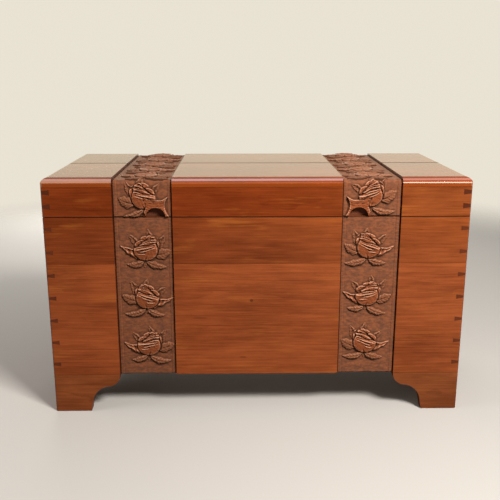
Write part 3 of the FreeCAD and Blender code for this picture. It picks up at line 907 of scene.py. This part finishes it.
def band(name, relief, place, side, level, tint):
    """A carving in place; level is how high the heart of its grain lies."""
    heart = (side * band_middle, y_front + heart_distance[0], level)
    return closed_relief(name, relief, place(side), carved(name, heart, tint))


def show(piece, body):
    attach(piece, body)
    print(piece.name, len(piece.data.polygons), "faces on", body)


for name, side in sides.items():
    relief = row_of_roses(side, front_length, front_step, front_seed, front_roses[name])
    cut_ground(relief)
    made = band(f"{name}_front_carving", relief, on_front, side, front_heart, band_tint[name])
    show(made, "carcase")

# %% The petal over the pull
pull_offset = (band_middle - pull_middle) / MM


def pull_petal(relief, side):
    """Half of the rose's cup is a broad petal that arches over the finger pull and turns up to a tip."""
    u, v = -side * relief.u, relief.v
    from_top = 39 + 8 * ease(42, 62, u) + 6 * ease(22, 6, u) - v
    from_side = pull_offset + 22 + 8 * ((v - 25) / 22) ** 2 - u
    from_leg = u - 7 + 4 * ease(0, 12, v) - 5 * np.sin(np.clip((v - 12) / 28, 0, 1) * math.pi)
    inside = np.minimum(np.minimum(from_top, from_side), from_leg)
    over_arch = np.hypot((u - pull_offset) * MM / (pull_width / 2), v * MM / pull_height) - 1
    lip = 1.5 * bell(from_top, 1.8) + 1.2 * bell(from_side, 1.8)
    sag = 1.5 * bell(over_arch - 0.45, 0.3) * ease(10, 30, u)
    height = 5.6 + lip - sag + 0.35 * np.cos(from_top * 2 * math.pi / 6)
    outline(relief, -inside, 2.0)
    relief.lay(inside > 0, np.maximum(height * ease(0, 0.9, inside), relief.height - 2.0), 1.0)


def round_off_back(relief):
    """Keeps the relief inside the rounded back edge of the lid."""
    y = over_lid(1)(relief.u * MM, relief.v * MM, 0 * relief.u)[1]
    past = np.clip(y - (back_high.y - lid_round), 0, None)
    limit = np.sqrt(np.clip(lid_round ** 2 - past ** 2, 0, None)) - roll
    relief.height = np.where(past > 0, np.minimum(relief.height, limit / MM - 0.1), relief.height)


def cut_pull(piece, side):
    """Takes the finger hollow out of the relief."""
    arch = [(math.cos(a), math.sin(a)) for a in np.linspace(0, math.pi, 49)] + [(-1, -1), (1, -1)]
    edge = [(side * pull_middle + p * pull_width / 2, lid_low.z + q * pull_height) for p, q in arch]
    count = len(edge)
    points = [(x, y, z) for y in (y_front - band_depth, y_ground + band_depth) for x, z in edge]
    faces = [tuple(range(count)), tuple(range(2 * count - 1, count - 1, -1))]
    faces += [(i, i + count, (i + 1) % count + count, (i + 1) % count) for i in range(count)]
    cutter = in_scene("gouge", new_mesh("gouge", points, faces))
    piece.modifiers.new("halves", "TRIANGULATE")
    gouge = piece.modifiers.new("gouge", "BOOLEAN")
    gouge.operation, gouge.solver, gouge.object = "DIFFERENCE", "MANIFOLD", cutter
    result = bpy.data.meshes.new_from_object(piece.evaluated_get(bpy.context.evaluated_depsgraph_get()))
    piece.modifiers.clear()
    bpy.data.objects.remove(cutter)
    piece.data = result


print(f"pulls {pull_offset:.1f} mm from the middle of a band")

# %% Roses over the lid
lid_step = 1.0
lid_seed = 40
lid_heart = 0.5
lid_front_rose = {"left": 40.0, "right": 44.0}
lid_band_share = 1.05
top_roses = (128.0, 224.0, 320.0, 416.0, 512.0)
for name, side in sides.items():
    relief = row_of_roses(side, lid_length, lid_step, lid_seed, top_roses)
    rose(relief, (-side * toward_inside, lid_front_rose[name]), side, flaring=False)
    pull_petal(relief, side)
    cut_ground(relief)
    round_off_back(relief)
    tint = band_tint[name] * lid_band_share
    made = band(f"{name}_lid_carving", relief, over_lid, side, lid_heart, tint)
    cut_pull(made, side)
    show(made, "lid")

# %% [markdown]
# ## Slotted screws
# Countersunk brass screws hold the hinges and the stay. They are turned on a lathe and their slots are sawn.
# All are alike and only their places differ, so one screw is modelled as a node tree and put on points. Each
# slot stops at an angle of its own, as it does when a screw is driven home, and the seed for that is fixed.

# %% One screw on many points
def screw_tree():
    """(tree, identifiers of its inputs): a screw on every point, its head toward the point's facing."""
    tree = bpy.data.node_groups.new("slotted_screws", "GeometryNodeTree")
    lengths = ("Head Radius", "Head Depth", "Shank Radius", "Length", "Slot Width")
    kinds = {"Points": "Geometry", **dict.fromkeys(lengths, "Float"), "Seed": "Int"}
    keys = {name: tree.interface.new_socket(name, in_out="INPUT", socket_type="NodeSocket" + kind).identifier
            for name, kind in kinds.items()}
    tree.interface.new_socket("Screws", in_out="OUTPUT", socket_type="NodeSocketGeometry")
    recipe = Recipe(tree)
    given = recipe.node("NodeGroupInput").outputs
    radius, depth, shank, length, slot = (Number(recipe, given[name]) for name in lengths)

    def sunk(mesh, by):
        lower = recipe.out("ShaderNodeCombineXYZ", {"Z": by * -1.0})
        return recipe.out("GeometryNodeTransform", {"Geometry": mesh, "Translation": lower})

    def cone(top, bottom, tall):
        return recipe.out("GeometryNodeMeshCone", {
            "Vertices": 32, "Radius Top": top, "Radius Bottom": bottom, "Depth": tall})

    def boolean(operation, meshes):
        return recipe.out("GeometryNodeMeshBoolean", meshes, operation=operation, solver="MANIFOLD")

    head = sunk(cone(radius, shank, depth), depth)
    body = sunk(cone(shank, shank * 0.3, length - depth * 0.8), length)
    whole = boolean("UNION", {"Mesh 2": [head, body]})
    saw = recipe.out("ShaderNodeCombineXYZ", {"X": radius * 3.0, "Y": slot, "Z": depth * 1.1})
    blade = recipe.out("GeometryNodeMeshCube", {"Size": saw})
    slotted = boolean("DIFFERENCE", {"Mesh 1": whole, "Mesh 2": blade})
    angle = recipe.node("FunctionNodeRandomValue", {2: 0.0, 3: math.pi, "Seed": given["Seed"]},
                        data_type="FLOAT").outputs[1]
    spin = recipe.out("FunctionNodeAxisAngleToRotation", {"Axis": (0, 0, 1), "Angle": angle})
    facing = recipe.out("GeometryNodeInputNamedAttribute", {"Name": "facing"}, data_type="FLOAT_VECTOR")
    turn = recipe.out("FunctionNodeAlignRotationToVector", {"Vector": facing}, axis="Z")
    turn = recipe.out("FunctionNodeRotateRotation", {"Rotation": turn, "Rotate By": spin},
                      rotation_space="LOCAL")
    placed = recipe.out("GeometryNodeInstanceOnPoints", {
        "Points": given["Points"], "Instance": slotted, "Rotation": turn})
    real = recipe.out("GeometryNodeRealizeInstances", {"Geometry": placed})
    dressed = recipe.out("GeometryNodeSetMaterial", {"Geometry": real, "Material": brass})
    recipe.node("NodeGroupOutput", {0: dressed})
    return tree, keys


tree, tree_inputs = screw_tree()
print("screw tree with", len(tree.nodes), "nodes and inputs", sorted(tree_inputs))

# %% Drive the screws
stay_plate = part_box("stay_carcase_plate")
head_radius = (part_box("hinge_screws_lid")[1].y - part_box("hinge_screws_lid")[0].y) / 2
screw_sizes = {"Head Radius": head_radius, "Head Depth": stay_plate[1].x - stay_plate[0].x,
               "Shank Radius": 0.0018, "Length": 0.0148, "Slot Width": 0.0009, "Seed": 5}


def hinge_heads(screws, leaf, up):
    """Places and facings of hinge screws: two to a leaf, as far apart as the construction has them."""
    low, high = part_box(screws)
    leaf_low, leaf_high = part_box(leaf)
    middle = (leaf_low.x + leaf_high.x) / 2
    apart = high.x - head_radius - middle
    z = high.z if up > 0 else low.z
    y = (low.y + high.y) / 2
    return [((side * middle + s * apart, y, z), (0, 0, up)) for side in (-1, 1) for s in (-1, 1)]


def stay_heads(screws):
    low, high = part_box(screws)
    z = (low.z + high.z) / 2
    return [((low.x, y, z), (-1, 0, 0)) for y in (low.y + head_radius, high.y - head_radius)]


def drive(name, places, body, *nodes):
    """One mesh of screws on one body, in place of the plain ones."""
    points = new_mesh(name + "_points", [p for p, _ in places], [])
    facing = points.attributes.new("facing", "FLOAT_VECTOR", "POINT")
    facing.data.foreach_set("vector", [c for _, f in places for c in f])
    made = in_scene(name, points)
    driver = made.modifiers.new("screws", "NODES")
    driver.node_group = tree
    for key, value in screw_sizes.items():
        driver[tree_inputs[key]] = value
    result = bpy.data.meshes.new_from_object(made.evaluated_get(bpy.context.evaluated_depsgraph_get()))
    made.modifiers.remove(driver)
    made.data = result
    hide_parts(*nodes)
    show(made, body)


drive("carcase_screws", hinge_heads("hinge_screws_carcase", "right_hinge_lower_leaf", 1)
      + stay_heads("stay_screws_carcase"), "carcase", "hinge_screws_carcase", "stay_screws_carcase")
drive("lid_screws", hinge_heads("hinge_screws_lid", "right_hinge_upper_leaf", -1)
      + stay_heads("stay_screws_lid"), "lid", "hinge_screws_lid", "stay_screws_lid")

# %% [markdown]
# ## Light and camera
# Three soft lamps light the chest: the main one high at the right front, weaker ones at the left and behind.
# The camera sees a pale backdrop, and a low even light fills the shadows. Polish shows what it mirrors, so
# glossy rays see surroundings of their own: pale behind and dark in front, with a bright strip and a bright
# part overhead that change from left to right. They were fitted to the line of light along the lid's rounded
# edge, which takes a strip brighter than white. The camera was fitted to the chest's corners.

# %% Floor
floor_reach = 3.0
floor_fade = 1.1
floor_colour = (0.56, 0.535, 0.49)
floor_bounce = (0.20, 0.185, 0.165)


def pale_floor():
    material, recipe = finish("pale_floor")
    x, y, _ = recipe.here()
    far = ((x * x + y * y) ** 0.5).ramp(floor_reach - floor_fade, floor_reach)
    seen = recipe.node("ShaderNodeLightPath").outputs["Is Camera Ray"]
    matt = recipe.out("ShaderNodeBsdfDiffuse", {"Color": recipe.mix(seen, floor_bounce, floor_colour)})
    clear = recipe.out("ShaderNodeBsdfTransparent")
    recipe.surface(recipe.out("ShaderNodeMixShader", {0: far, 1: matt, 2: clear}))
    return material


turns_round = ((-1, -1), (1, -1), (1, 1), (-1, 1))
corners = [(sx * floor_reach, sy * floor_reach, cad_box[0][2]) for sx, sy in turns_round]
floor = in_scene("floor", new_mesh("floor", corners, [(0, 1, 2, 3)]))
floor.data.materials.append(pale_floor())
print("floor", floor_reach * 2, "m square")

# %% Backdrop and what the polish mirrors
backdrop_colour = (0.816, 0.764, 0.656)
fill_colour = (0.17, 0.165, 0.16)
mirrored_front = (0.06, 0.035, 0.015)
mirrored_high_front = (0.10, 0.09, 0.09)
mirrored_back = (0.86, 0.81, 0.61), (0.95, 0.87, 0.65)
mirrored_high = (0.45, 0.38, 0.31), (0.20, 0.24, 0.20)
mirrored_strip = (1.9, 1.45, 1.0), (0.9, 0.45, 0.25), (5.8, 5.4, 4.2)
mirrored_overhead = (2.3, 1.8, 1.6), (1.75, 2.0, 2.2), (2.0, 1.35, 1.2)

world = bpy.data.worlds.new("studio")
world.use_nodes = True
bpy.context.scene.world = world
studio = Recipe(world.node_tree)
across, toward_back, upward = studio.here("Generated")
behind = studio.mix(across.ramp(-0.25, 0.1), *mirrored_back)
high = upward.ramp(0.36, 0.46).larger(upward.ramp(0.22, 0.40) * toward_back.ramp(0.0, -0.3))
high_colour = studio.layered(mirrored_high[0], (across.ramp(-0.25, -0.08), mirrored_high[1]),
                             (toward_back.ramp(0.1, -0.1), mirrored_high_front))
ahead = toward_back.ramp(-0.4, -0.5) * across.size().ramp(0.36, 0.30)
leftward = across.ramp(-0.08, -0.16)
low_strip = upward.ramp(0.17, 0.24) * upward.ramp(0.52, 0.44)
high_strip = upward.ramp(0.34, 0.44) * upward.ramp(0.90, 0.80)
strip = ahead * (low_strip * (1.0 - leftward) + high_strip * leftward)
strip_colour = studio.layered(mirrored_strip[1], (leftward, mirrored_strip[0]),
                              (across.ramp(0.15, 0.23), mirrored_strip[2]))
overhead = upward.ramp(0.74, 0.90) * toward_back.ramp(0.22, 0.02)
overhead_colour = studio.layered(mirrored_overhead[0], (across.ramp(-0.22, -0.08), mirrored_overhead[1]),
                                 (across.ramp(0.12, 0.22), mirrored_overhead[2]))
mirrored = studio.layered(mirrored_front, (toward_back.ramp(-1.0, -0.55), behind), (high, high_colour),
                          (strip, strip_colour), (overhead, overhead_colour))
rays = studio.node("ShaderNodeLightPath").outputs
light = studio.layered(fill_colour, (rays["Is Glossy Ray"], mirrored),
                       (rays["Is Camera Ray"], backdrop_colour))
glow = studio.out("ShaderNodeBackground", {"Color": light, "Strength": 1.0})
studio.node("ShaderNodeOutputWorld", {"Surface": glow})
print("world with", len(world.node_tree.nodes), "nodes")

# %% Lamps
lamp_tint = (1.0, 0.98, 0.97)


def softbox(name, place, aim, width, height, power, tint):
    """A soft lamp that the polish doesn't show."""
    lamp = bpy.data.lights.new(name, "AREA")
    lamp.shape = "RECTANGLE"
    lamp.size, lamp.size_y = width, height
    lamp.energy = power
    lamp.color = tint
    box = in_scene(name, lamp)
    box.location = place
    box.rotation_euler = (Vector(aim) - Vector(place)).to_track_quat("-Z", "Y").to_euler()
    box.visible_glossy = False


chest_middle = (0, 0, (cad_box[0][2] + cad_box[1][2]) / 2)
softbox("main_light", (1.1, -1.75, 2.0), chest_middle, 0.7, 0.5, 98.0, (1.0, 0.97, 0.95))
softbox("left_fill", (-2.4, -0.7, 1.2), chest_middle, 1.2, 1.2, 20.0, lamp_tint)
softbox("back_fill", (-0.6, 2.5, 1.0), chest_middle, 1.6, 1.2, 42.0, lamp_tint)
print("three lamps aimed at", chest_middle)

# %% Camera
lens = 51.0
camera_distance = 1.6163
eye = Vector((-0.0436, y_front - camera_distance, 0.8341))
yaw, pitch = 0.0163, 0.2545
forward = Vector((math.sin(yaw) * math.cos(pitch), math.cos(yaw) * math.cos(pitch), -math.sin(pitch)))
camera_data = bpy.data.cameras.new("camera")
camera_data.sensor_width = 36.0
camera_data.lens = lens
camera = in_scene("camera", camera_data)
camera.location = eye
camera.rotation_euler = forward.to_track_quat("-Z", "Y").to_euler()
bpy.context.scene.camera = camera
bpy.context.scene.view_settings.view_transform = "Standard"
print("camera at", tuple(round(c, 3) for c in eye))
